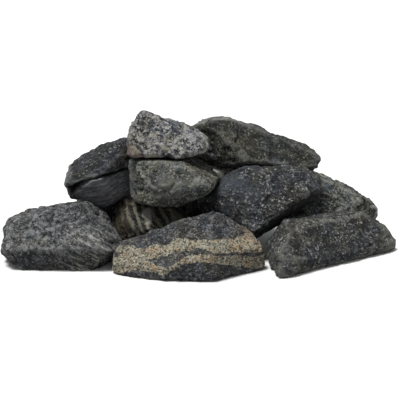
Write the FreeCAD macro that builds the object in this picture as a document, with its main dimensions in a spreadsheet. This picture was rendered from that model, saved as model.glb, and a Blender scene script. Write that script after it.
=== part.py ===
import FreeCAD, Part
import math
import os

# A loose heap of thirteen heater stones: broken rock of the 5 to 10 cm grade that has been
# tumbled until its edges are blunt.  Each stone is a piece of its own and rests on the ones
# below it; nothing is glued.  Seven stand on the floor, six lie on top of those.
#
# Millimetres, +X to the right, +Y away from the front, +Z up.  The origin is on the floor,
# under the middle of the heap.
#
# How one stone is made.  Broken rock is a block with flats knocked off it.  A flat is given
# by the way it faces and by how far it lies from the stone's centre:
#   turn  degrees round the front view: 0 faces right, 90 up, 180 left, 270 down
#   lean  degrees tipped out of that view: 90 faces the front (-Y), -90 faces the back
#   out   millimetres from the stone's centre to the flat
# Every flat is cut by the end face of a long square block; what all the blocks have in common
# is the sharp stone, and growing that by the wear radius rounds each edge and corner.

REACH = 80.0          # half the width of every cutting block, wider than the largest stone

doc = FreeCAD.newDocument("heater_stones")
sheet = doc.addObject("Spreadsheet::Sheet", "Sizes")
next_row = 1


def size(alias, value):
    """Puts one driving dimension in the sheet and returns the name to bind to."""
    global next_row
    sheet.set(f"A{next_row}", alias)
    sheet.set(f"B{next_row}", str(value))
    sheet.setAlias(f"B{next_row}", alias)
    next_row += 1
    return "Sizes." + alias


reach = size("reach", REACH)


def cutting_block(name, turn, lean, height):
    """A square block through the stone's centre whose end face is one flat of the stone."""
    turn, lean = math.radians(turn), math.radians(lean)
    facing = FreeCAD.Vector(math.cos(lean) * math.cos(turn), -math.sin(lean),
                            math.cos(lean) * math.sin(turn))
    turned = FreeCAD.Rotation(FreeCAD.Vector(0, 0, 1), facing)
    block = doc.addObject("Part::Box", name)
    block.setExpression("Length", "2 * " + reach)
    block.setExpression("Width", "2 * " + reach)
    block.setExpression("Height", height)
    corner = turned.multVec(FreeCAD.Vector(-REACH, -REACH, -REACH))
    block.Placement = FreeCAD.Placement(corner, turned)
    return block


def stone(name, centre, wear, flats):
    """One tumbled stone: its flats cut to the sharp core, then grown by the wear radius."""
    wear_size = size(name + "_wear", wear)
    blocks = []
    for number, (turn, lean, out) in enumerate(flats, 1):
        flat = size(f"{name}_flat_{number}", out)
        blocks.append(cutting_block(f"{name}_block_{number}", turn, lean,
                                    f"{reach} + {flat} - {wear_size}"))
    core = doc.addObject("Part::MultiCommon", name + "_core")
    core.Shapes = blocks
    worn = doc.addObject("Part::Offset", name)
    worn.Source = core
    worn.Mode = 0
    worn.Join = 0
    worn.setExpression("Value", wear_size)
    worn.Label = name
    worn.Placement = FreeCAD.Placement(FreeCAD.Vector(*centre), FreeCAD.Rotation())
    return worn


MIDDLE_X = 2.42       # where the middle of the whole footprint falls in the layout below
MIDDLE_Y = 3.57


def at(x, y, z):
    """A centre given in the layout, moved so that the origin is under the middle."""
    return (x - MIDDLE_X, y - MIDDLE_Y, z)


# ---------------------------------------------------------------- stones standing on the floor

# Banded stone: the low stone in the middle of the heap that the others lean on.
banded = stone("banded_stone", at(-34, 12, 18), 4.0, [
    (270, 0, 18), (88, 5, 14.5), (100, 40, 15.5), (150, 20, 20), (30, 20, 23), (0, 0, 25),
    (180, 41, 21.5), (180, -40, 25), (330, -40, 22), (250, 75, 19), (90, -50, 17), (0, -90, 18)])

# Front left: a squat block with a wide sloping top and a blunt wedge on its right.
front_left = stone("front_left_stone", at(-90, -10, 19), 5.0, [
    (270, 0, 19), (266, 78, 29.5), (92, 36, 14.5), (98, -12, 17), (113, 0, 20), (180, 0, 39.2),
    (146, 25, 33.5), (222, 18, 38), (46, 5, 20.5), (8, 15, 38), (318, 22, 36), (90, -52, 24),
    (0, -90, 30), (150, -50, 34), (0, -41, 33), (270, -62, 26)])

# Front centre: the longest stone, a low wedge with a ridge running up to its right shoulder.
front_centre = stone("front_centre_stone", at(-8, -38, 19), 4.5, [
    (270, 0, 19), (110, 30, 8), (58, 28, 19), (188, 66, 26), (272, 82, 23), (350, 52, 28),
    (140, 10, 29.5), (175, 0, 47.5), (0, 8, 47.5), (322, 12, 46.5), (110, -25, 15.5),
    (60, -30, 26.5), (0, -90, 29.5), (150, -50, 32), (30, -50, 32), (270, -60, 26)])

# Front right: a flat-topped slab set at an angle, its thin end pointing right and back.
front_right = stone("front_right_stone", at(84, -7, 16), 4.5, [
    (270, 0, 16), (42, 44, 13.9), (345, 54, 20.8), (143, 4, 31.5), (178, 8, 41.4),
    (225, 12, 44.5), (90, 0, 13), (50, 5, 25.4), (5, 0, 51), (300, 15, 32.1), (180, -52, 17),
    (90, -45, 19), (270, -50, 22)])

# Right: stands behind the front right stone, its top falling away to the right.
right = stone("right_stone", at(94, 48, 24), 4.5, [
    (270, 0, 24), (70, 40, 14), (66, 0, 13), (52, -5, 17), (40, -5, 21), (340, 5, 34),
    (0, 52, 19), (180, 20, 40), (120, 24, 28), (215, 20, 34), (0, -90, 20), (90, -50, 20),
    (30, -50, 26), (270, -60, 20), (200, -40, 30)])

# Rear centre and rear left: two low stones that carry the back of the heap.
rear_centre = stone("rear_centre_stone", at(10, 46, 15), 4.0, [
    (270, 0, 15), (92, -4, 15), (5, 0, 27), (175, 5, 28), (0, 88, 17), (0, -88, 16),
    (120, 35, 22), (60, 40, 21), (85, -48, 19), (25, -50, 24), (155, -45, 24),
    (330, -30, 26), (205, -25, 30)])

rear_left = stone("rear_left_stone", at(-62, 46, 14), 4.0, [
    (270, 0, 14), (88, 0, 14.2), (4, 5, 27), (176, -5, 27), (0, 88, 13.5), (10, -85, 14.5),
    (125, 30, 19), (55, 35, 20), (95, -45, 17), (20, -45, 23), (160, -50, 22),
    (335, -25, 26), (200, -30, 28)])

# ------------------------------------------------------------------- stones lying on the others

# Left upper: a rounded stone leaning on the front left, banded and rear left stones.
left_upper = stone("left_upper_stone", at(-68, 26, 50), 5.0, [
    (108, 32, 17), (262, 60, 23), (180, 5, 24.5), (146, 5, 18.5), (123, 2, 14), (107, -10, 18),
    (205, 8, 25), (250, 8, 21.5), (308, 12, 23), (0, 45, 20), (0, 0, 34), (0, -90, 24),
    (90, -50, 22), (270, -50, 20), (180, -50, 24)])

# Middle left: a wedge bridging the banded stone and the shoulder of the centre stone.
middle_left = stone("middle_left_stone", at(-17, 6, 51), 4.5, [
    (92, 40, 17), (282, 72, 23.5), (182, 34, 26), (182, 0, 30), (215, 6, 30), (268, 6, 17),
    (298, 8, 17), (0, 0, 33), (62, 4, 14.5), (88, -5, 12.5), (130, 0, 28), (0, -90, 21),
    (90, -50, 20), (270, -50, 20), (180, -45, 26), (0, -50, 27)])

# Centre: the large keystone, standing on its point between the two front stones.
centre = stone("centre_stone", at(46, 8, 38), 4.5, [
    (98, 56, 20), (92, -2, 20.5), (41, 8, 33), (355, 5, 35), (309, 26, 19.5), (232, 20, 34),
    (180, 50, 32), (297, 12, 22), (128, 0, 26.5), (0, -90, 22), (270, -30, 24.5),
    (90, -38, 17), (180, -45, 32), (300, -27, 17.5), (180, 0, 48)])

# Rear middle: a small stone wedged between the centre stone and the slab above it.
rear_middle = stone("rear_middle_stone", at(6, 40, 46), 3.0, [
    (85, 18, 10), (88, -14, 9.5), (180, 50, 13), (0, 48, 17), (180, -5, 19), (3, -10, 22),
    (270, 0, 14.5), (10, -80, 17), (95, -50, 15), (275, -45, 18), (215, 25, 18), (320, 20, 20),
    (140, -15, 20), (38, 5, 19)])

# Top left: the pale stone on the very top, lying on the middle left stone.
top_left = stone("top_left_stone", at(-22, 16, 78), 4.0, [
    (84, 58, 12.5), (168, 6, 26.5), (135, 5, 24.5), (68, 5, 10), (80, -30, 12), (4, 5, 27.5),
    (282, 8, 15.5), (268, 8, 14), (228, 14, 26), (192, 10, 28.5), (0, -90, 18), (90, -50, 19),
    (270, -50, 16), (180, -45, 16), (0, -53, 19)])

# Top right: a long slab across the centre and rear middle stones, falling to the right.
top_right = stone("top_right_stone", at(38, 34, 72), 4.0, [
    (80, 54, 13), (69, 2, 8.5), (120, 0, 28), (94, -5, 16.5), (75, -35, 7.5), (180, 10, 42.5),
    (342, 5, 45.5), (38, 4, 29), (266, 30, 22), (304, 18, 40.5), (190, 55, 25), (0, -90, 24),
    (90, -55, 22), (268, -32, 14), (0, -50, 34), (270, -70, 20)])

stones = [banded, front_left, front_centre, front_right, right, rear_centre, rear_left,
          left_upper, middle_left, centre, rear_middle, top_left, top_right]

doc.recompute()

for thing in doc.Objects:
    if "Invalid" in thing.State or "Error" in thing.State:
        raise RuntimeError(f"{thing.Name} did not compute: {thing.State}")
    shape = getattr(thing, "Shape", None)
    if hasattr(thing, "Shape") and (shape is None or shape.isNull() or not shape.isValid()):
        raise RuntimeError(f"{thing.Name} has no valid shape")

os.makedirs("parts", exist_ok=True)
for piece in stones:
    if len(piece.Shape.Solids) != 1:
        raise RuntimeError(f"{piece.Label} is not one solid")
    piece.Shape.exportStep(f"parts/{piece.Label}.step")

whole = FreeCAD.BoundBox()
for piece in stones:
    whole.add(piece.Shape.BoundBox)
print(f"x {whole.XMin:.2f} {whole.XMax:.2f}  y {whole.YMin:.2f} {whole.YMax:.2f}"
      f"  z {whole.ZMin:.2f} {whole.ZMax:.2f}")
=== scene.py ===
import itertools
import math
import bpy
import numpy as np
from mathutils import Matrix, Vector


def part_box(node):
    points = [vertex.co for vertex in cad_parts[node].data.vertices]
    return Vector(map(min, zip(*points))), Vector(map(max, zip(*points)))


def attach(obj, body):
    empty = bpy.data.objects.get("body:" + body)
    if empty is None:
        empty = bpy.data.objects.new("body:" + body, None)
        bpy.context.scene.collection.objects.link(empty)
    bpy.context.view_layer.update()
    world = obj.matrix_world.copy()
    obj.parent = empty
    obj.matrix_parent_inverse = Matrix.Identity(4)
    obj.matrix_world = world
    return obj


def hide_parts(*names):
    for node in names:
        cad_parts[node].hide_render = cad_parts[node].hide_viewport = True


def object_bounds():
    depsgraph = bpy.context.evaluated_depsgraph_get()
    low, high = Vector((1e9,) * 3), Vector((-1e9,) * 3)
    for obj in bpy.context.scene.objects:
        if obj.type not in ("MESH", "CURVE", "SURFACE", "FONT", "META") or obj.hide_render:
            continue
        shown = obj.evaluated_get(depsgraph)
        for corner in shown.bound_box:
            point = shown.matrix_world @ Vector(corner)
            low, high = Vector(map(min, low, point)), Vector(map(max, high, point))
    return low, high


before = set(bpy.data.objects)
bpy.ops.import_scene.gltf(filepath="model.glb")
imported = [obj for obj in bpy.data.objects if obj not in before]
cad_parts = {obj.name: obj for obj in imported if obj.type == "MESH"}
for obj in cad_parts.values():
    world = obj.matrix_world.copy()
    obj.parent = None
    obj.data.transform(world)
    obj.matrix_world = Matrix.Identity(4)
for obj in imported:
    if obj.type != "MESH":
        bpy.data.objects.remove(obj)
cad_box = [list(corner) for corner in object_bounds()]
middle = (Vector(cad_box[0]) + Vector(cad_box[1])) / 2


# ---------------------------------------------------------------- the view
# A long lens level with the side of the heap and looking fifteen degrees down on it, aimed
# a little below half the heap's height.

camera = bpy.data.objects.new("camera", bpy.data.cameras.new("camera"))
bpy.context.scene.collection.objects.link(camera)
camera.data.lens = 100
camera.data.sensor_width = 36
camera.data.clip_end = 30
look_down = math.radians(15)
aim = Vector((middle.x - 0.0024, middle.y - 0.0036, 0.0375))
camera.location = aim + 0.740 * Vector((0, -math.cos(look_down), math.sin(look_down)))
camera.rotation_euler = (math.pi / 2 - look_down, 0, 0)
bpy.context.scene.camera = camera
bpy.context.scene.view_settings.view_transform = "Standard"


# ---------------------------------------------------------------- floor and studio light
# A wide plain pale floor, an even white room, and one broad soft lamp above and to the
# front left.

floor_mesh = bpy.data.meshes.new("floor")
floor_mesh.from_pydata([(-6, -6, 0), (6, -6, 0), (6, 6, 0), (-6, 6, 0)], [], [(0, 1, 2, 3)])
floor = bpy.data.objects.new("floor", floor_mesh)
bpy.context.scene.collection.objects.link(floor)
pale_floor = bpy.data.materials.new("pale_floor")
pale_floor.use_nodes = True
floor_shader = pale_floor.node_tree.nodes["Principled BSDF"]
floor_shader.inputs["Base Color"].default_value = (0.58, 0.58, 0.58, 1)
floor_shader.inputs["Roughness"].default_value = 0.9
floor_shader.inputs["Specular IOR Level"].default_value = 0.1
floor.data.materials.append(pale_floor)

room = bpy.data.worlds.new("room")
room.use_nodes = True
room.node_tree.nodes["Background"].inputs["Color"].default_value = (0.97, 0.985, 1.0, 1)
room.node_tree.nodes["Background"].inputs["Strength"].default_value = 0.54
bpy.context.scene.world = room

lamp = bpy.data.objects.new("soft_lamp", bpy.data.lights.new("soft_lamp", "SUN"))
lamp.data.energy = 5.6
lamp.data.angle = math.radians(20)
lamp.data.color = (1.0, 0.985, 0.96)
lamp.rotation_euler = Vector((-0.26, -0.22, 0.94)).to_track_quat("Z", "Y").to_euler()
bpy.context.scene.collection.objects.link(lamp)


# ---------------------------------------------------------------- banded stone
# The low stone in the middle of the heap that the others lean on: striped gneiss, its cream,
# olive and black layers standing steeply, with a knot of white quartz.

def flats_of(node):
    """The flats the stone was knocked into, read from its CAD solid: outward directions and
    distances from the middle of its box. Triangles that share one plane are one flat, and a
    group narrower than 2.5 mm is only a strip of a rounded edge, so it is left out."""
    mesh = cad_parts[node].data
    mesh.calc_loop_triangles()
    at = np.empty(len(mesh.vertices) * 3, np.float32)
    mesh.vertices.foreach_get("co", at)
    at = at.reshape(-1, 3).astype(float)
    corners = np.empty(len(mesh.loop_triangles) * 3, np.int32)
    mesh.loop_triangles.foreach_get("vertices", corners)
    centre = (at.min(0) + at.max(0)) / 2
    tri = at[corners.reshape(-1, 3)] - centre
    cross = np.cross(tri[:, 1] - tri[:, 0], tri[:, 2] - tri[:, 0])
    area = np.linalg.norm(cross, axis=1) / 2
    no_area, smallest_flat = 1e-10, 4e-6
    real = area > no_area
    tri, cross, area = tri[real], cross[real], area[real]
    facing = cross / (2 * area[:, None])
    out = (facing * tri[:, 0]).sum(1)
    free = np.ones(len(area), bool)
    same_way, same_level, narrowest = 0.99998, 4e-5, 0.0025
    width_of_spread = 3.4        # a flat's width over the standard deviation of its corners
    directions, distances = [], []
    for largest in np.argsort(-area):
        if not free[largest] or area[largest] < smallest_flat:
            continue
        level = abs(out - out[largest]) < same_level
        same = free & level & (facing @ facing[largest] > same_way)
        free &= ~same
        points = tri[same].reshape(-1, 3)
        width = np.linalg.eigvalsh(np.cov(points.T))[1] ** 0.5 * width_of_spread
        if width > narrowest:
            directions.append(facing[largest])
            distances.append(out[largest])
    return centre, np.array(directions), np.array(distances)


flats = {node: flats_of(node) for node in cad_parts}
table_rows = 4096


def picked(table, home):
    """The row of a random table for each cell of an endless lattice: its three whole numbers
    are each multiplied by a large prime and mixed, so that neighbours get unlike rows."""
    x, y, z = home.T
    return table[(x * 73856093 ^ y * 19349663 ^ z * 83492791) & (table_rows - 1)]


def rock_noise(points, size, seed):
    """A smooth random swell from -1 to 1: a random number at each corner of a cubic lattice
    with cells of the given size, blended between the corners by 6t^5 - 15t^4 + 10t^3."""
    cell = points / size + 0.37 * seed
    base = np.floor(cell).astype(np.int64)
    t = cell - base
    t = t * t * t * (t * (t * 6 - 15) + 10)
    table = np.random.default_rng(seed).uniform(-1, 1, table_rows)
    total = np.zeros(len(points))
    for step in itertools.product((0, 1), repeat=3):
        weight = np.prod(np.where(step, t, 1 - t), axis=1)
        total += weight * picked(table, base + step)
    return total


def rough(points, size, seed, octaves=4, fade=0.5):
    """Fractal roughness from about -1 to 1: swells of half the size and fade times the height
    of the last one, added up."""
    total, height = 0.0, 1.0
    for octave in range(octaves):
        total = total + height * rock_noise(points, size * 0.5 ** octave, seed + 11 * octave)
        height *= fade
    return total * (1 - fade) / (1 - fade ** octaves) * 1.6


def facets(points, size, seed, crisp=26):
    """Broken facets: every patch of the surface belongs to the nearest of a scatter of points,
    and is a plane with its own random tilt and level. The planes are averaged with weights of
    e^(-crisp * distance^2), so that the steps between them are worn a little."""
    cell = points / size + 0.61 * seed
    base = np.floor(cell).astype(np.int64)
    table = np.random.default_rng(seed).uniform(0, 1, (table_rows, 7))
    total, weights = np.zeros(len(points)), np.full(len(points), 1e-12)
    for step in itertools.product((-1, 0, 1), repeat=3):
        home = base + step
        lot = picked(table, home)
        gap = cell - home - lot[:, :3]
        weight = np.exp(-crisp * (gap ** 2).sum(1))
        total += weight * ((gap * (lot[:, 3:6] - 0.5)).sum(1) * 2 + 0.5 * (lot[:, 6] - 0.5))
        weights += weight
    return total / weights


def eased(value, low, high):
    """0 below low, 1 above high, and 3t^2 - 2t^3 between them."""
    t = np.clip((value - low) / (high - low), 0, 1)
    return t * t * (3 - 2 * t)


def nearest_inside(points, directions, distances):
    """The nearest point of a block to each point: the block is the space behind all its flats,
    and the point is moved back onto each flat in turn, thirty rounds over, each move starting
    from where the flat's last one is undone (Dykstra's projection)."""
    spot = points.copy()
    held = np.zeros((len(directions), len(points)), np.float32)
    rounds = 30
    for _ in range(rounds):
        for k, (direction, distance) in enumerate(zip(directions, distances)):
            push = np.maximum(spot @ direction + held[k] - distance, 0)
            spot += (held[k] - push)[:, None] * direction
            held[k] = push
    return spot


def tumbled(node, wear, seed, cell=0.00054):
    """One tumbled stone as a closed surface. The two parameters run over each side of a box
    around the stone, on a square grid of the given cell, and every grid point is pulled in
    along the line to the centre until it is just outside the stone's flats. It then drops onto
    a smaller block, whose flats are a radius further in, and comes back out by that radius,
    which rounds every edge and corner. That is done with a small and a large radius, half the
    wear and half as much again, and the stone drifts between the two."""
    centre, directions, distances = flats[node]
    low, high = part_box(node)
    half = (np.array(high) - np.array(low)) / 2
    count = np.maximum(8, np.round(2 * half / cell)).astype(int)
    stride = 2000                # more than the grid points along any side
    quads = []
    for axis in range(3):
        u, v = (axis + 1) % 3, (axis + 2) % 3
        grid = np.meshgrid(np.arange(count[u] + 1), np.arange(count[v] + 1), indexing="ij")
        for side in (0, 1):
            place = np.zeros((count[u] + 1, count[v] + 1, 3), int)
            place[..., u], place[..., v], place[..., axis] = *grid, side * count[axis]
            key = (place[..., 0] * stride + place[..., 1]) * stride + place[..., 2]
            ring = [key[:-1, :-1], key[1:, :-1], key[1:, 1:], key[:-1, 1:]]
            quads.append(np.stack(ring if side else ring[::-1], -1).reshape(-1, 4))
    keys, quads = np.unique(np.concatenate(quads), return_inverse=True)
    quads = quads.reshape(-1, 4)
    lattice = np.stack([keys // stride ** 2, keys // stride % stride, keys % stride], -1)
    ray = (lattice / count * 2 - 1) * half
    outside = ray * 1.04 / (ray @ (directions / distances[:, None]).T).max(1, keepdims=True)
    outside = outside.astype(np.float32)
    mix = 0.5 + 0.5 * np.clip(1.6 * rough(outside, 0.030, seed + 7, 2), -1, 1)[:, None]
    points, outward = 0, 0
    for radius, weight in ((0.5 * wear, mix), (1.5 * wear, 1 - mix)):
        core = nearest_inside(outside, directions.astype(np.float32),
                              (distances - radius).astype(np.float32))
        away = outside - core
        away /= np.linalg.norm(away, axis=1, keepdims=True)
        points = points + weight * (core + radius * away)
        outward = outward + weight * away
    outward /= np.linalg.norm(outward, axis=1, keepdims=True)
    depth = points @ directions.T - distances
    first, second = np.argsort(-depth, axis=1)[:, :2].T
    rows = np.arange(len(points))
    turn = 1 - (directions[first] * directions[second]).sum(1)
    edge = 1 - eased(depth[rows, first] - depth[rows, second], 0.0003, 0.0034)
    points = points + centre
    space = np.ones(len(points))
    for other, (middle_of, ways, ends) in flats.items():
        if other != node:
            space = np.minimum(space, ((points - middle_of) @ ways.T - ends).max(1))
    return {"points": points, "outward": outward, "quads": quads, "space": space,
            "edge": edge * eased(turn, 0.04, 0.30), "low": np.array(low),
            "high": np.array(high), "seed": seed}


def share_of(stone):
    """Where each point lies in the stone's box, from 0 to 1 along each side."""
    return (stone["points"] - stone["low"]) / (stone["high"] - stone["low"])


def across(stone, layers):
    """The stone's points in axes turned so that the first runs across its layers, and squeezed
    to an eighth along the other two, so that any roughness on them comes out as ridges."""
    layers = np.array(layers, float) / np.linalg.norm(layers)
    side = np.cross(layers, (0.31, 0.87, 0.38))
    side /= np.linalg.norm(side)
    axes = np.stack([layers, side / 8, np.cross(layers, side) / 8])
    return stone["points"] @ axes.T


def weathered(stone, layers, swell=0.0008, broken=0.0011, hackle=0.0007, ridge=0.00022,
              grain=0.00022, chips=0.0011, facet_size=0.013, ridge_size=0.0022):
    """How far the surface stands in or out, in metres: broad swells, large broken facets and
    small hackly ones, ridges of the harder layers, crystal grain, and chips off the edges."""
    p, seed, edge = stone["points"], stone["seed"], stone["edge"]
    height = swell * rough(p, 0.024, seed + 1, 3)
    bent = p + 0.0022 * np.stack([rough(p, 0.009, seed + 2 + k, 2) for k in range(3)], -1)
    height += broken * facets(bent, facet_size, seed + 3)
    hackly = 0.45 + 0.55 * eased(rough(p, 0.016, seed + 9, 2), -0.4, 0.4)
    height += hackle * hackly * facets(bent, facet_size * 0.36, seed + 12, 18)
    patchy = eased(rough(p, 0.020, seed + 4, 2), -0.3, 0.6)
    height += ridge * (0.35 + patchy) * rough(across(stone, layers), ridge_size, seed + 5, 3)
    height += grain * rough(p, 0.0024, seed + 6, 2, 0.8) * (1.2 - 0.5 * edge)
    height -= chips * edge * np.clip(rough(p, 0.0065, seed + 8, 3, 0.6), 0, 1)
    return height


def carve(stone, height, proud=0.0018):
    """Moves every point along its outward direction by its height, but outwards by no more
    than proud and two fifths of the space to the next stone, and keeps what the look needs:
    worn edges, and hollows that the finish paints darker."""
    tight = 1 - eased(stone["space"], 0.0005, 0.004)
    height = height * (1 - 0.6 * tight)
    height = np.minimum(height, np.clip(0.4 * stone["space"], -0.0005, proud))
    stone["points"] = stone["points"] + height[:, None] * stone["outward"]
    floor_gap = 0.00002
    stone["points"][:, 2] = np.maximum(stone["points"][:, 2], floor_gap)
    quads, p = stone["quads"], stone["points"]
    sides = ((0, 1), (1, 2), (2, 3), (3, 0))
    near = np.zeros_like(p)
    for a, b in sides:
        np.add.at(near, quads[:, a], p[quads[:, b]])
        np.add.at(near, quads[:, b], p[quads[:, a]])
    ties = 2.0 * np.bincount(quads.ravel(), minlength=len(p))
    dent = ((near / ties[:, None] - p) * stone["outward"]).sum(1)
    for _ in range(3):
        spread = np.zeros(len(p))
        for a, b in sides:
            spread += np.bincount(quads[:, a], dent[quads[:, b]], len(p))
            spread += np.bincount(quads[:, b], dent[quads[:, a]], len(p))
        dent = 0.3 * dent + 0.7 * spread / ties
    stone["hollow"] = eased(dent, 0.000006, 0.00006)
    stone["worn"] = np.clip(0.75 * stone["edge"] + 0.5 * eased(-dent, 0.000005, 0.00005), 0, 1)


def lay_down(name, node, stone, material, **marks):
    """Puts the finished surface into a mesh with its masks, and lets it stand for its CAD
    solid on that solid's body."""
    mesh = bpy.data.meshes.new(name)
    count = len(stone["quads"])
    mesh.vertices.add(len(stone["points"]))
    mesh.vertices.foreach_set("co", stone["points"].astype(np.float32).ravel())
    mesh.loops.add(count * 4)
    mesh.loops.foreach_set("vertex_index", stone["quads"].astype(np.int32).ravel())
    mesh.polygons.add(count)
    mesh.polygons.foreach_set("loop_start", np.arange(0, count * 4, 4, dtype=np.int32))
    mesh.polygons.foreach_set("use_smooth", np.ones(count, bool))
    mesh.update(calc_edges=True)
    for mark, value in dict(worn=stone["worn"], hollow=stone["hollow"], **marks).items():
        layer = mesh.attributes.new(mark, "FLOAT", "POINT")
        layer.data.foreach_set("value", np.asarray(value, np.float32))
    piece = bpy.data.objects.new(name, mesh)
    bpy.context.scene.collection.objects.link(piece)
    mesh.materials.append(material)
    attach(piece, node)
    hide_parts(node)


def node_in(tree, kind, inputs=(), **options):
    """Adds a node, sets its options, and links or sets its inputs."""
    made = tree.nodes.new(kind)
    for option, value in options.items():
        setattr(made, option, value)
    for socket, value in dict(inputs).items():
        if isinstance(value, bpy.types.NodeSocket):
            tree.links.new(value, made.inputs[socket])
        else:
            made.inputs[socket].default_value = value
    return made


def worked(tree, operation, a, b=0.0):
    """One step of arithmetic on two values."""
    return node_in(tree, "ShaderNodeMath", {0: a, 1: b}, operation=operation).outputs[0]


def between(tree, value, low, high):
    """A mask that eases from 0 at low to 1 at high."""
    return node_in(tree, "ShaderNodeMapRange", {"Value": value, "From Min": low, "From Max": high},
                   interpolation_type="SMOOTHSTEP").outputs[0]


def noise_in(tree, vector, scale, detail, roughness=0.5):
    """The value of a cloudy noise at a pattern's vector."""
    return node_in(tree, "ShaderNodeTexNoise", {"Vector": vector, "Scale": scale,
                   "Detail": detail, "Roughness": roughness}).outputs[0]


def stretched(tree, vector, along):
    """The vector with its two axes along the layers squeezed, so that a pattern on it is
    drawn out along them."""
    return node_in(tree, "ShaderNodeVectorMath", {0: vector, 1: (1.0, along, along)},
                   operation="MULTIPLY").outputs[0]


def blended(tree, mask, below, above, way="MIX"):
    """One colour over another where the mask is."""
    return node_in(tree, "ShaderNodeMix", {0: mask, 6: below, 7: above}, data_type="RGBA",
                   blend_type=way).outputs[2]


def speckle_group():
    """Crystals packed together: each cell of a warped cell pattern has its own random value.
    Puts out the share that are light, the share that are dark, and a height."""
    group = bpy.data.node_groups.new("crystals", "ShaderNodeTree")
    face = group.interface
    for name, kind in (("Vector", "NodeSocketVector"), ("Grain Size", "NodeSocketFloat"),
                       ("Light Share", "NodeSocketFloat"), ("Dark Share", "NodeSocketFloat")):
        face.new_socket(name, in_out="INPUT", socket_type=kind)
    for name in ("Light", "Dark", "Height"):
        face.new_socket(name, in_out="OUTPUT", socket_type="NodeSocketFloat")
    given = group.nodes.new("NodeGroupInput").outputs
    often = worked(group, "DIVIDE", 1.0, given["Grain Size"])
    warp = node_in(group, "ShaderNodeTexNoise", {"Vector": given["Vector"], "Detail": 2.0,
                   "Scale": worked(group, "MULTIPLY", often, 0.8)}).outputs["Color"]
    warp = node_in(group, "ShaderNodeVectorMath", {0: warp, 1: (0.5, 0.5, 0.5)},
                   operation="SUBTRACT").outputs[0]
    amount = worked(group, "MULTIPLY", given["Grain Size"], 1.6)
    warp = node_in(group, "ShaderNodeVectorMath", {0: warp, "Scale": amount},
                   operation="SCALE").outputs[0]
    bent = node_in(group, "ShaderNodeVectorMath", {0: given["Vector"], 1: warp},
                   operation="ADD").outputs[0]
    cells = node_in(group, "ShaderNodeTexVoronoi", {"Vector": bent, "Scale": often})
    lot = node_in(group, "ShaderNodeSeparateColor", {0: cells.outputs["Color"]}).outputs
    small = node_in(group, "ShaderNodeTexVoronoi", {"Vector": bent,
                    "Scale": worked(group, "MULTIPLY", often, 2.1)})
    small_lot = node_in(group, "ShaderNodeSeparateColor", {0: small.outputs["Color"]}).outputs
    patch = node_in(group, "ShaderNodeTexNoise", {"Vector": given["Vector"], "Detail": 3.0,
                    "Scale": worked(group, "MULTIPLY", often, 0.16)}).outputs[0]
    patch = between(group, patch, 0.35, 0.65)
    light_share = worked(group, "MULTIPLY", given["Light Share"],
                         worked(group, "ADD", worked(group, "MULTIPLY", patch, 1.3), 0.35))
    light = between(group, worked(group, "ADD", lot[0], light_share), 0.98, 1.06)
    small_light = between(group, worked(group, "ADD", small_lot[0], light_share), 0.98, 1.10)
    light = worked(group, "MAXIMUM", light, worked(group, "MULTIPLY", small_light, 0.7))
    dark = between(group, worked(group, "ADD", lot[1], given["Dark Share"]), 0.98, 1.06)
    small_dark = between(group, worked(group, "ADD", small_lot[1], given["Dark Share"]), 0.98, 1.1)
    dark = worked(group, "MAXIMUM", dark, worked(group, "MULTIPLY", small_dark, 0.8))
    given_out = group.nodes.new("NodeGroupOutput").inputs
    group.links.new(light, given_out["Light"])
    group.links.new(dark, given_out["Dark"])
    height = worked(group, "ADD", worked(group, "MULTIPLY", lot[2], 0.6),
                    worked(group, "MULTIPLY", small_lot[2], 0.4))
    group.links.new(height, given_out["Height"])
    return group


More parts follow.
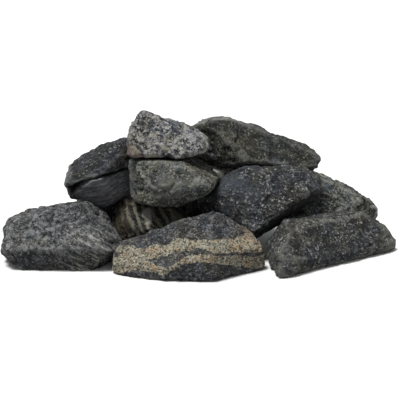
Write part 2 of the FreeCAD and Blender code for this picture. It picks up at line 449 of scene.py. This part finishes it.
def body_group():
    """The body of a tumbled rock: layered and mottled ground between a dark, a middle and a
    pale colour, crystals in it, pale wear along edges, and hollows painted darker, towards black."""
    group = bpy.data.node_groups.new("tumbled_rock", "ShaderNodeTree")
    face = group.interface
    for name, kind in (("Vector", "NodeSocketVector"), ("Worn", "NodeSocketFloat"),
                       ("Hollow", "NodeSocketFloat"), ("Dark", "NodeSocketColor"),
                       ("Middle", "NodeSocketColor"), ("Pale", "NodeSocketColor"),
                       ("Crystal", "NodeSocketColor"), ("Layer Size", "NodeSocketFloat"),
                       ("Layering", "NodeSocketFloat"), ("Grain Size", "NodeSocketFloat"),
                       ("Light Share", "NodeSocketFloat"), ("Dark Share", "NodeSocketFloat"),
                       ("Wear", "NodeSocketFloat")):
        face.new_socket(name, in_out="INPUT", socket_type=kind)
    face.new_socket("Color", in_out="OUTPUT", socket_type="NodeSocketColor")
    face.new_socket("Roughness", in_out="OUTPUT", socket_type="NodeSocketFloat")
    face.new_socket("Height", in_out="OUTPUT", socket_type="NodeSocketFloat")
    given = group.nodes.new("NodeGroupInput").outputs
    at = given["Vector"]
    often = worked(group, "DIVIDE", 1.0, given["Layer Size"])
    drift = node_in(group, "ShaderNodeTexNoise", {"Vector": at, "Scale": 70.0, "Detail": 3.0})
    drift = node_in(group, "ShaderNodeVectorMath", {0: drift.outputs["Color"],
                    "Scale": 0.010}, operation="SCALE").outputs[0]
    drift = node_in(group, "ShaderNodeVectorMath", {0: at, 1: drift}, operation="ADD").outputs[0]
    long = stretched(group, drift, 0.13)
    short = stretched(group, drift, 0.35)
    layer = noise_in(group, long, often, 5.0, 0.62)
    layer = between(group, layer, 0.33, 0.67)
    mottle = noise_in(group, at, 120.0, 8.0, 0.72)
    mottle = between(group, mottle, 0.34, 0.66)
    tone = node_in(group, "ShaderNodeMix", {0: given["Layering"], 2: mottle, 3: layer}).outputs[0]
    fleck = noise_in(group, short, 640.0, 4.0, 0.75)
    fleck = between(group, fleck, 0.37, 0.64)
    tone = worked(group, "ADD", worked(group, "MULTIPLY", tone, 0.45),
                  worked(group, "MULTIPLY", fleck, 0.55))
    colour = blended(group, between(group, tone, 0.18, 0.52), given["Dark"], given["Middle"])
    pale_mask = worked(group, "MULTIPLY", between(group, tone, 0.54, 0.90), 0.85)
    colour = blended(group, pale_mask, colour, given["Pale"])
    crystals = node_in(group, "ShaderNodeGroup", node_tree=speckles)
    for name in ("Vector", "Grain Size", "Light Share", "Dark Share"):
        group.links.new(given[name], crystals.inputs[name])
    dust = noise_in(group, at, 1500.0, 3.0, 0.8)
    shade = worked(group, "ADD", worked(group, "MULTIPLY", dust, 3.0), -0.5)
    colour = blended(group, 1.0, colour, shade, "MULTIPLY")
    cast = between(group, noise_in(group, drift, 60.0, 7.0, 0.72), 0.40, 0.60)
    cast = blended(group, cast, (1.07, 1.02, 0.80, 1), (0.86, 0.97, 1.20, 1))
    colour = blended(group, 1.0, colour, cast, "MULTIPLY")
    colour = blended(group, worked(group, "MULTIPLY", crystals.outputs["Dark"], 0.7), colour,
                     blended(group, 0.75, given["Dark"], (0.003, 0.003, 0.003, 1)))
    colour = blended(group, worked(group, "MULTIPLY", crystals.outputs["Light"], 0.75), colour,
                     given["Crystal"])
    ragged = worked(group, "ADD", given["Worn"], worked(group, "MULTIPLY",
                    worked(group, "SUBTRACT", mottle, 0.5), 0.7))
    worn = worked(group, "MULTIPLY", between(group, ragged, 0.35, 1.1), given["Wear"])
    colour = blended(group, worn, colour, given["Pale"])
    # Hollows painted darker, towards near black.
    dirt = worked(group, "MULTIPLY", given["Hollow"], 0.75)
    colour = blended(group, dirt, colour,
                     blended(group, 0.6, given["Dark"], (0.002, 0.002, 0.002, 1)))
    rough_out = worked(group, "ADD", 0.66, worked(group, "MULTIPLY", dust, 0.3))
    rough_out = worked(group, "SUBTRACT", rough_out,
                       worked(group, "MULTIPLY", crystals.outputs["Light"], 0.22))
    height = worked(group, "ADD", worked(group, "MULTIPLY", crystals.outputs["Height"], 0.4),
                    worked(group, "MULTIPLY", dust, 0.6))
    height = worked(group, "ADD", height, worked(group, "MULTIPLY", fleck, 0.6))
    given_out = group.nodes.new("NodeGroupOutput").inputs
    group.links.new(colour, given_out["Color"])
    group.links.new(rough_out, given_out["Roughness"])
    group.links.new(height, given_out["Height"])
    return group


speckles = speckle_group()
rock_body = body_group()


def mark_on(tree, name):
    """A mask that was kept on the mesh."""
    return node_in(tree, "ShaderNodeAttribute", attribute_name=name).outputs["Fac"]


def rock_material(name, layers, dark, middle_tone, pale, crystal, grain=0.0011, light=0.12,
                  black=0.18, layer_size=0.005, layering=0.5, wear=0.55, relief=0.9):
    """A rock finish: the body group with this stone's colours, turned so that its pattern runs
    across this stone's layers. Returns the material, its tree and shader, and the pattern's
    vector, so that a stone can add its own veins and stains."""
    made = bpy.data.materials.new(name)
    made.use_nodes = True
    tree = made.node_tree
    shader = tree.nodes["Principled BSDF"]
    turn = Vector(layers).rotation_difference(Vector((1, 0, 0))).to_euler()
    place = node_in(tree, "ShaderNodeTexCoord").outputs["Object"]
    vector = node_in(tree, "ShaderNodeMapping", {"Vector": place, "Rotation": turn}).outputs[0]
    body = node_in(tree, "ShaderNodeGroup", node_tree=rock_body)
    for socket, value in (("Vector", vector), ("Worn", mark_on(tree, "worn")),
                          ("Hollow", mark_on(tree, "hollow"))):
        tree.links.new(value, body.inputs[socket])
    for socket, value in (("Dark", dark), ("Middle", middle_tone), ("Pale", pale),
                          ("Crystal", crystal)):
        body.inputs[socket].default_value = (*value, 1)
    for socket, value in (("Grain Size", grain), ("Light Share", light), ("Dark Share", black),
                          ("Layer Size", layer_size), ("Layering", layering), ("Wear", wear)):
        body.inputs[socket].default_value = value
    bump = node_in(tree, "ShaderNodeBump", {"Height": body.outputs["Height"], "Strength": relief,
                   "Distance": 0.0008})
    tree.links.new(body.outputs["Color"], shader.inputs["Base Color"])
    tree.links.new(body.outputs["Roughness"], shader.inputs["Roughness"])
    tree.links.new(bump.outputs[0], shader.inputs["Normal"])
    shader.inputs["Specular IOR Level"].default_value = 0.22
    return made, tree, shader, vector


def painted(tree, shader, mask, colour, way="MIX"):
    """Lays one more colour over a finish where the mask is."""
    under = shader.inputs["Base Color"].links[0].from_socket
    tree.links.new(blended(tree, mask, under, colour, way), shader.inputs["Base Color"])


def stained(tree, shader, mark, strength, colour, way="MIX"):
    """Lays one more colour over a finish where one of the stone's own masks is."""
    painted(tree, shader, worked(tree, "MULTIPLY", mark_on(tree, mark), strength), colour, way)


banded_layers = (0.77, -0.12, 0.62)
banded = tumbled("banded_stone", 0.0036, 101)
carve(banded, weathered(banded, banded_layers, broken=0.0018, hackle=0.0012, ridge=0.00075,
                       grain=0.00030, ridge_size=0.0034))
# The stone's dark layers are real, but all its colours are set darker still as painted shade for
# its place deep in the heap.
striped_gneiss, tree, shader, vector = rock_material(
    "striped_gneiss", banded_layers, (0.0035, 0.0035, 0.003), (0.009, 0.0088, 0.0078),
    (0.085, 0.080, 0.062), (0.12, 0.115, 0.095), light=0.06, layer_size=0.0060,
    layering=0.95, wear=0.2)
stripe = node_in(tree, "ShaderNodeTexWave", {"Vector": vector, "Scale": 62.0, "Distortion": 5.0,
                 "Detail": 4.0, "Detail Scale": 0.8, "Detail Roughness": 0.6},
                 wave_type="BANDS", bands_direction="X").outputs["Fac"]
ragged = noise_in(tree, vector, 450.0, 6.0, 0.75)
stripe = worked(tree, "ADD", stripe, worked(tree, "SUBTRACT", ragged, 0.5))
painted(tree, shader, worked(tree, "MULTIPLY", between(tree, stripe, 0.55, 0.80), 0.8),
        (0.115, 0.108, 0.080, 1))
stained(tree, shader, "quartz", 0.9, (0.23, 0.225, 0.21, 1))
stained(tree, shader, "brown", 0.75, (0.0225, 0.016, 0.009, 1))
share = share_of(banded)
knot = np.linalg.norm((share - (0.53, 0.20, 0.74)) * (2.6, 0.4, 1.0), axis=1)
knot += 0.10 * rough(banded["points"], 0.006, 131, 3)
side_stain = eased(0.42 - share[:, 0] + 0.12 * rough(banded["points"], 0.012, 132, 3), 0.0, 0.2)
lay_down("banded_rock", "banded_stone", banded, striped_gneiss,
         quartz=1 - eased(knot, 0.09, 0.15), brown=side_stain)


# ---------------------------------------------------------------- front left stone
# A squat block of grey gneiss, gritty with pale patches on its broad sloping top, painted
# lighter where the top faces up and darker on its lower front as painted light and shade, with
# a painted highlight along the break between them, pale streaks running down to the right and
# a lichen-pale rim at its left end.

left_layers = (0.50, 0.15, 0.85)
front_left = tumbled("front_left_stone", 0.0030, 201)
p = front_left["points"]
share = share_of(front_left)
height = weathered(front_left, left_layers, swell=0.0007, broken=0.0015, ridge=0.00035,
                   grain=0.00026)
ledge = eased(0.27 - share[:, 0] + 0.04 * rough(p, 0.009, 231, 3), 0.0, 0.03)
height -= 0.0024 * ledge * eased(share[:, 2], 0.72, 0.84)
upward = front_left["outward"][:, 2]
carve(front_left, height)
grey_gneiss, tree, shader, vector = rock_material(
    "grey_gneiss", left_layers, (0.0075, 0.0077, 0.0085), (0.024, 0.0245, 0.026),
    (0.110, 0.113, 0.114), (0.160, 0.161, 0.162), grain=0.0011, light=0.20, black=0.24,
    layer_size=0.0042, layering=0.55, wear=0.55)
drawn = stretched(tree, vector, 0.17)
streak = noise_in(tree, drawn, 520.0, 6.0, 0.75)
streak = worked(tree, "MULTIPLY", between(tree, streak, 0.51, 0.62), mark_on(tree, "streaks"))
bleach = noise_in(tree, vector, 230.0, 8.0, 0.75)
dull = worked(tree, "MULTIPLY", between(tree, bleach, 0.51, 0.40), 0.75)
painted(tree, shader, dull, (0.009, 0.0095, 0.0125, 1))
# Pale patches on the top: real grit and the lichen-pale rim, with painted light where the top
# faces up and a painted highlight along the break.
bleach = worked(tree, "MULTIPLY", between(tree, bleach, 0.48, 0.60), mark_on(tree, "pale_top"))
painted(tree, shader, worked(tree, "MULTIPLY", bleach, 0.8), (0.195, 0.203, 0.208, 1))
painted(tree, shader, worked(tree, "MULTIPLY", streak, 0.8), (0.260, 0.260, 0.242, 1))
# Painted shade: the faces turned away from the sky are darkened.
stained(tree, shader, "shaded", 0.55, (0.45, 0.45, 0.45, 1), "MULTIPLY")
rim = eased(0.13 - share[:, 0] + 0.04 * rough(p, 0.006, 233, 3), 0.0, 0.06)
rim *= eased(share[:, 2], 0.3, 0.5)
# A painted highlight along the break between the top and the front.
break_line = 1 - eased(abs(upward - 0.42 + 0.15 * rough(p, 0.006, 234, 3)), 0.06, 0.22)
patchy = eased(rough(p, 0.011, 232, 4, 0.65), -0.6, 0.6)
# Painted light on the faces turned up, the real pale rim, and the painted highlight along the
# break.
pale_top = 0.85 * eased(upward, 0.40, 0.80) * patchy + 1.4 * rim + 0.6 * break_line
# The masks: painted shade on the faces turned away from the sky, and painted light on the top.
lay_down("front_left_rock", "front_left_stone", front_left, grey_gneiss,
         streaks=eased(share[:, 0], 0.42, 0.62) * eased(0.80 - share[:, 2], -0.1, 0.2),
         shaded=eased(0.44 - upward, 0.0, 0.25), pale_top=np.clip(pale_top, 0, 1))


# ---------------------------------------------------------------- front centre stone
# The longest stone: dark grey gneiss with two wavy cream and rust-tinted feldspar bands lying
# along it, which thicken and run together towards its right end.

centre_layers = (0.06, 0.02, 1.0)
front_centre = tumbled("front_centre_stone", 0.0034, 301)
share = share_of(front_centre)
wave = 0.035 * rough(front_centre["points"], 0.011, 331, 4, 0.6)
upper_band = np.interp(share[:, 0], (0, .09, .23, .29, .36, .42, .48, .55, .61, .71, .84, .94, 1),
                       (.37, .38, .38, .41, .45, .52, .585, .615, .61, .58, .50, .45, .44))
upper_half = np.interp(share[:, 0], (0, .15, .45, .6, .8, 1), (.050, .060, .055, .050, .085, .12))
lower_band = np.interp(share[:, 0], (0, .03, .10, .16, .23, .29, .36, .40, .44, .48, .55, .64, .74,
                                     .84, .94, 1),
                       (.13, .14, .22, .24, .22, .20, .19, .25, .33, .39, .43, .43, .36, .26,
                        .17, .15))
lower_half = np.interp(share[:, 0], (0, .1, .3, .42, .5, .8, 1),
                       (.13, .115, .080, .045, .055, .085, .10))
from_upper = abs(share[:, 2] + wave - upper_band) / upper_half
from_lower = abs(share[:, 2] + wave - lower_band) / lower_half
bands = np.maximum(1 - eased(from_upper, 0.55, 1.5), 1 - eased(from_lower, 0.55, 1.5))
shoulder = eased(share[:, 0], 0.80, 0.92) * eased(share[:, 2], 0.50, 0.62)
height = weathered(front_centre, centre_layers, ridge=0.00032, ridge_size=0.0026)
height -= 0.00035 * bands * eased(rough(front_centre["points"], 0.004, 332, 3), -0.2, 0.6)
carve(front_centre, height)
cream_banded, tree, shader, vector = rock_material(
    "cream_banded_gneiss", centre_layers, (0.0085, 0.0085, 0.0095), (0.023, 0.0232, 0.0245),
    (0.090, 0.090, 0.090), (0.135, 0.135, 0.13), grain=0.0010, light=0.15, black=0.24,
    layer_size=0.0040, layering=0.55, wear=0.35)
ragged = noise_in(tree, vector, 420.0, 5.0, 0.75)
feldspar = worked(tree, "ADD", mark_on(tree, "bands"),
                  worked(tree, "MULTIPLY", worked(tree, "SUBTRACT", ragged, 0.5), 1.7))
feldspar = between(tree, feldspar, 0.42, 0.56)
tint = noise_in(tree, vector, 130.0, 4.0)
cream = blended(tree, between(tree, tint, 0.47, 0.66), (0.185, 0.172, 0.128, 1),
                (0.215, 0.155, 0.092, 1))
tint_fine = between(tree, noise_in(tree, vector, 900.0, 3.0), 0.46, 0.66)
cream = blended(tree, tint_fine, cream, (0.31, 0.30, 0.255, 1))
bits = node_in(tree, "ShaderNodeGroup", {"Vector": vector, "Grain Size": 0.0010,
               "Light Share": 0.0, "Dark Share": 0.27}, node_tree=speckles)
cream = blended(tree, worked(tree, "MULTIPLY", bits.outputs["Dark"], 0.85), cream,
                (0.012, 0.0115, 0.010, 1))
painted(tree, shader, feldspar, cream)
stained(tree, shader, "rust", 0.55, (0.12, 0.0775, 0.0425, 1))
lay_down("front_centre_rock", "front_centre_stone", front_centre, cream_banded,
         bands=np.clip(bands + 0.5 * shoulder, 0, 1),
         rust=shoulder * eased(rough(front_centre["points"], 0.006, 333, 3), -0.2, 0.5))


# ---------------------------------------------------------------- front right stone
# A flat-topped charcoal slab, peppered with tiny white and brown crystals, its lower left end
# and lower rim paler, its thin right tip weathered greenish grey.

slab_layers = (0.22, 0.10, 0.96)
front_right = tumbled("front_right_stone", 0.0045, 401)
share = share_of(front_right)
carve(front_right, weathered(front_right, slab_layers, broken=0.0009, ridge=0.00020,
                             grain=0.00022))
charcoal_slab, tree, shader, vector = rock_material(
    "charcoal_slab", slab_layers, (0.0070, 0.0071, 0.0082), (0.0265, 0.0268, 0.0275),
    (0.110, 0.111, 0.104), (0.230, 0.226, 0.212), grain=0.0010, light=0.10, black=0.26,
    layer_size=0.0075, layering=0.35, wear=0.55)
ragged = noise_in(tree, vector, 420.0, 6.0, 0.75)
ragged = worked(tree, "MULTIPLY", between(tree, ragged, 0.42, 0.60), mark_on(tree, "pale_ends"))
painted(tree, shader, worked(tree, "MULTIPLY", ragged, 0.8), (0.120, 0.126, 0.102, 1))
ends = np.maximum(eased(share[:, 0], 0.83, 0.95), 0.9 * eased(0.22 - share[:, 0], -0.08, 0.10)
                  * eased(0.60 - share[:, 2], 0, 0.3))
ends *= eased(rough(front_right["points"], 0.007, 431, 4, 0.65), -0.6, 0.4)
foot = eased(0.13 - share[:, 2] + 0.05 * rough(front_right["points"], 0.005, 432, 3), 0.0, 0.08)
ends = np.maximum(ends, 0.8 * foot * eased(front_right["outward"][:, 2], -0.9, -0.3))
lay_down("front_right_rock", "front_right_stone", front_right, charcoal_slab,
         pale_ends=np.clip(1.3 * ends, 0, 1))


# ---------------------------------------------------------------- right stone
# Grey-green schist standing behind the slab: rough ridges and open splits run along it, and
# its upper edge is rubbed pale.

schist_layers = (0.45, -0.22, 0.86)
right = tumbled("right_stone", 0.0045, 501)
height = weathered(right, schist_layers, swell=0.0011, broken=0.0012, ridge=0.00060,
                   ridge_size=0.0034)
split = rough(across(right, schist_layers), 0.0052, 531, 2)
open_here = eased(rough(right["points"], 0.018, 532, 2), -0.1, 0.4)
height -= 0.0011 * (1 - eased(abs(split), 0.0, 0.10)) * open_here
carve(right, height)
green_schist = rock_material(
    "grey_green_schist", schist_layers, (0.0085, 0.009, 0.008), (0.036, 0.038, 0.034),
    (0.170, 0.174, 0.162), (0.200, 0.200, 0.182), grain=0.0010, light=0.14, black=0.24,
    layer_size=0.0038, layering=0.9, wear=0.85)[0]
lay_down("right_rock", "right_stone", right, green_schist)


# ---------------------------------------------------------------- rear centre and rear left stones
# Two plain low stones of dark grey gneiss that carry the back of the heap.

rear_layers = (0.15, 0.30, 0.94)
for name, seed, crown, light in (("rear_centre", 601, 0.0, 0.1968),
                                 ("rear_left", 701, 0.0035, 0.2079)):
    rear = tumbled(name + "_stone", 0.0085, seed, 0.0006)
    height = weathered(rear, rear_layers, swell=0.0020, broken=0.0042, hackle=0.0012,
                       ridge=0.0004, grain=0.00026, facet_size=0.024)
    height += crown * eased(rear["outward"][:, 2], -0.2, 1.0) - 0.0012
    carve(rear, height, proud=crown + 0.0005)
    rear_finish = rock_material(
        name + "_gneiss", rear_layers, (0.012, 0.012, 0.0125), (0.03, 0.0305, 0.03),
        (0.075, 0.075, 0.0725), (0.11, 0.11, 0.105), grain=0.0011, light=light,
        black=0.18, layer_size=0.005, layering=0.6, wear=0.55)[0]
    lay_down(name + "_rock", name + "_stone", rear, rear_finish)


# ---------------------------------------------------------------- left upper stone
# Nearly black slate leaning on three others. A thick rough sheet has split away from its front
# along a rising crack; below the crack the bared face is smooth and finely streaked.

slate_layers = (-0.24, -0.12, 0.96)
left_upper = tumbled("left_upper_stone", 0.0050, 801)
p = left_upper["points"]
share = share_of(left_upper)
front_side = eased(-left_upper["outward"][:, 1], -0.15, 0.35)
crack_line = np.interp(share[:, 0], (0, .13, .23, .34, .45, .55, .65, .75, 1),
                       (.36, .415, .485, .535, .575, .59, .595, .60, .62))
crack_line += 0.022 * rough(p, 0.008, 831, 3)
stone_height = 0.051
above = (share[:, 2] - crack_line) * stone_height
height = weathered(left_upper, slate_layers, swell=0.0008, broken=0.0010, ridge=0.00030)
smooth_face = eased(-above, 0.0004, 0.0016) * front_side * eased(share[:, 0], 0.10, 0.22)
height = height * (1 - 0.65 * smooth_face)
gape = np.interp(share[:, 0], (0, .05, .10, .22, .36, .5, .7, 1),
                 (0.0, 0.0016, 0.0062, 0.0052, 0.0026, 0.0014, 0.0016, 0.0010))
depth = np.interp(share[:, 0], (0, .05, .11, .24, .4, .7, 1),
                  (0, .0020, .0078, .0070, .0048, .0038, .0024))
groove = 1 - eased(np.abs(above + 0.5 * gape) / (0.5 * gape + 0.0004), 0.4, 1.35)
height -= front_side * (groove * depth + 0.0009 * smooth_face)
carve(left_upper, height)
# Painted shade in the crack: its cavity is darkened with the hollows.
left_upper["hollow"] = np.maximum(left_upper["hollow"], eased(groove, 0.15, 0.7) * front_side)
black_slate, tree, shader, vector = rock_material(
    "black_slate", slate_layers, (0.005, 0.0053, 0.0065), (0.0140, 0.0146, 0.0170),
    (0.075, 0.077, 0.080), (0.155, 0.155, 0.155), grain=0.0012, light=0.07, black=0.22,
    layer_size=0.0026, layering=0.6, wear=0.45)
drawn = stretched(tree, vector, 0.14)
# The smooth bared face below the crack: real fine streaks, painted lighter than the slate as
# painted light for this low face, which gets little light.
slick = noise_in(tree, drawn, 620.0, 8.0, 0.8)
slick = blended(tree, between(tree, slick, 0.38, 0.66), (0.050, 0.051, 0.058, 1),
                (0.27, 0.275, 0.285, 1))
stained(tree, shader, "slick", 0.68, slick)
stained(tree, shader, "green_rim", 0.75, (0.1062, 0.1122, 0.1037, 1))
# Painted shade: the crack's cavity is painted near black.
stained(tree, shader, "crack", 0.95, (0.0018, 0.0018, 0.0022, 1))
rim = eased(0.115 - share[:, 0] + 0.03 * rough(p, 0.006, 832, 3), 0.0, 0.06)
lip = (1 - eased(abs(above - 0.0012), 0.0004, 0.0016)) * front_side
lip *= eased(rough(p, 0.004, 833, 3), -0.2, 0.5)
# Mask of the painted shade in the crack.
crack = eased(groove, 0.1, 0.6) * front_side
rim = np.maximum(rim, 0.55 * lip) * (1 - crack)
lay_down("left_upper_rock", "left_upper_stone", left_upper, black_slate, green_rim=rim,
         slick=smooth_face, crack=crack)


# ---------------------------------------------------------------- centre stone
# The keystone, standing on its point: charcoal rock full of pale crystals, a smooth blue-grey
# patch rubbed on its upper left, and painted shade, near black, on the faces turned downwards.

key_layers = (0.15, 0.45, 0.88)
centre = tumbled("centre_stone", 0.0036, 901)
p = centre["points"]
share = share_of(centre)
height = weathered(centre, key_layers, swell=0.0009, broken=0.0016, ridge=0.00020, grain=0.00026)
carve(centre, height)
crystal_rock, tree, shader = rock_material(
    "charcoal_crystal_rock", key_layers, (0.0075, 0.0076, 0.0088), (0.0215, 0.0217, 0.0235),
    (0.078, 0.080, 0.084), (0.215, 0.215, 0.21), grain=0.0011, light=0.095, black=0.27,
    layer_size=0.008, layering=0.30, wear=0.35)[:3]
stained(tree, shader, "rubbed", 0.65, (0.034, 0.040, 0.048, 1))
# Painted shade: the faces turned downwards are painted near black.
stained(tree, shader, "broken", 0.7, (0.006, 0.006, 0.006, 1))
rubbed = eased(0.60 - share[:, 0], 0.0, 0.25) * eased(share[:, 2], 0.55, 0.80)
rubbed *= eased(rough(p, 0.012, 931, 3), -0.7, 0.2)
# Mask of the painted shade: the faces turned downwards.
broken = eased(-centre["outward"][:, 2], 0.15, 0.5)
lay_down("centre_rock", "centre_stone", centre, crystal_rock, rubbed=rubbed, broken=broken)


# ---------------------------------------------------------------- middle left stone
# A fine-grained olive-grey wedge bridging the banded stone and the keystone's shoulder, with
# pale blotches and a paler left edge.

wedge_layers = (-0.25, 0.25, 0.93)
middle_left = tumbled("middle_left_stone", 0.0045, 1001)
p = middle_left["points"]
share = share_of(middle_left)
carve(middle_left, weathered(middle_left, wedge_layers, broken=0.0014, hackle=0.0009,
                             ridge=0.00025, grain=0.00022))
olive_rock, tree, shader = rock_material(
    "olive_fine_rock", wedge_layers, (0.0175, 0.0178, 0.0155), (0.055, 0.056, 0.048),
    (0.165, 0.167, 0.148), (0.205, 0.205, 0.180), grain=0.0009, light=0.14, black=0.22,
    layer_size=0.009, layering=0.3, wear=0.45)[:3]
stained(tree, shader, "blotch", 0.45, (0.0825, 0.0858, 0.0825, 1))
blotch = 1 - eased(np.linalg.norm((share - (0.45, 0.05, 0.52)) * (1.4, 0.7, 1.0), axis=1)
                   + 0.12 * rough(p, 0.008, 1031, 4, 0.6), 0.12, 0.30)
edge_pale = eased(0.12 - share[:, 0], 0, 0.1)
lay_down("middle_left_rock", "middle_left_stone", middle_left, olive_rock,
         blotch=np.clip(blotch + 0.8 * edge_pale, 0, 1))


# ---------------------------------------------------------------- rear middle stone
# A small stone wedged in the gap behind the keystone: dark, crowded with white crystals, with
# all its colours raised as painted light for the shade of the gap.

rear_middle = tumbled("rear_middle_stone", 0.0055, 1101)
height = weathered(rear_middle, rear_layers, swell=0.0012, broken=0.0030, hackle=0.0012,
                   grain=0.00028, facet_size=0.016)
underneath = eased(-rear_middle["outward"][:, 2], -0.1, 0.4)
height = np.where(height > 0, height * (1 - underneath), height)
carve(rear_middle, height + 0.0035 * eased(rear_middle["outward"][:, 2], -0.1, 0.8), proud=0.005)
# Painted light: its colours are raised well above the rock's own so that it reads lit in the
# shaded gap.
white_crystal_rock = rock_material(
    "white_crystal_rock", rear_layers, (0.016, 0.016, 0.015), (0.075, 0.074, 0.068),
    (0.26, 0.26, 0.24), (0.50, 0.49, 0.45), grain=0.0017, light=0.34, black=0.26,
    layer_size=0.006, layering=0.3, wear=0.5)[0]
lay_down("rear_middle_rock", "rear_middle_stone", rear_middle, white_crystal_rock)


# ---------------------------------------------------------------- top left stone
# The pale stone on the very top: coarse augen gneiss, white, grey and black grains around
# cream eyes of feldspar, stained red-brown at its lower left corner.

augen_layers = (0.34, 0.12, 0.93)
top_left = tumbled("top_left_stone", 0.0034, 1201)
p = top_left["points"]
share = share_of(top_left)
carve(top_left, weathered(top_left, augen_layers, broken=0.0014, hackle=0.0009, ridge=0.00035,
                         grain=0.00030, facet_size=0.011))
augen_gneiss, tree, shader, vector = rock_material(
    "augen_gneiss", augen_layers, (0.010, 0.0108, 0.0135), (0.052, 0.0545, 0.062),
    (0.195, 0.196, 0.192), (0.29, 0.285, 0.27), grain=0.0017, light=0.34, black=0.36,
    layer_size=0.0045, layering=0.65, wear=0.3)
blotch = noise_in(tree, vector, 190.0, 6.0, 0.7)
painted(tree, shader, worked(tree, "MULTIPLY", between(tree, blotch, 0.54, 0.62), 0.75),
        (0.014, 0.015, 0.019, 1))
eyes = node_in(tree, "ShaderNodeTexVoronoi", {"Vector": stretched(tree, vector, 0.55),
                                             "Scale": 135.0})
eye_lot = node_in(tree, "ShaderNodeSeparateColor", {0: eyes.outputs["Color"]}).outputs[0]
eye = worked(tree, "MULTIPLY", between(tree, eye_lot, 0.62, 0.66),
             worked(tree, "SUBTRACT", 1.0, between(tree, eyes.outputs["Distance"], 0.26, 0.42)))
painted(tree, shader, worked(tree, "MULTIPLY", eye, 0.8), (0.165, 0.1575, 0.1275, 1))
stained(tree, shader, "red_stain", 0.65, (0.0575, 0.0325, 0.0225, 1))
stain = eased(0.42 - share[:, 0] - 0.9 * share[:, 2] + 0.12 * rough(p, 0.006, 1231, 3), 0.0, 0.16)
lay_down("top_left_rock", "top_left_stone", top_left, augen_gneiss, red_stain=stain)


# ---------------------------------------------------------------- top right stone
# A long dark greenish slab lying across the keystone and falling to the right, painted paler
# where its upper left rim faces up, its lower lip rubbed to a light olive.

slope_layers = (0.42, -0.10, 0.90)
top_right = tumbled("top_right_stone", 0.0040, 1301)
p = top_right["points"]
share = share_of(top_right)
height = weathered(top_right, slope_layers, swell=0.0011, broken=0.0016, ridge=0.00040,
                   ridge_size=0.0030)
carve(top_right, height)
green_slab, tree, shader = rock_material(
    "dark_green_slab", slope_layers, (0.008, 0.0085, 0.0078), (0.0255, 0.0268, 0.0245),
    (0.088, 0.090, 0.083), (0.140, 0.141, 0.128), grain=0.0010, light=0.10, black=0.24,
    layer_size=0.0045, layering=0.7, wear=0.55)[:3]
# Paler paint on the faces turned up along its upper left rim, and on the light olive lower lip.
stained(tree, shader, "dusty", 0.8, (0.150, 0.150, 0.140, 1))
# Paler where the upper left rim faces up.
dusty = eased(top_right["outward"][:, 2], 0.62, 0.90) * eased(0.66 - share[:, 0], 0.0, 0.3)
dusty *= eased(rough(p, 0.008, 1331, 4, 0.65), -0.7, 0.3)
lip = eased(0.34 - share[:, 2], 0.0, 0.1) * eased(share[:, 0], 0.48, 0.56)
lip *= eased(0.76 - share[:, 0], 0, 0.1) * eased(-top_right["outward"][:, 1], 0.0, 0.4)
lip *= eased(rough(p, 0.005, 1332, 4), -0.5, 0.4)
lay_down("top_right_rock", "top_right_stone", top_right, green_slab,
         dusty=np.clip(dusty + 0.75 * lip, 0, 1))
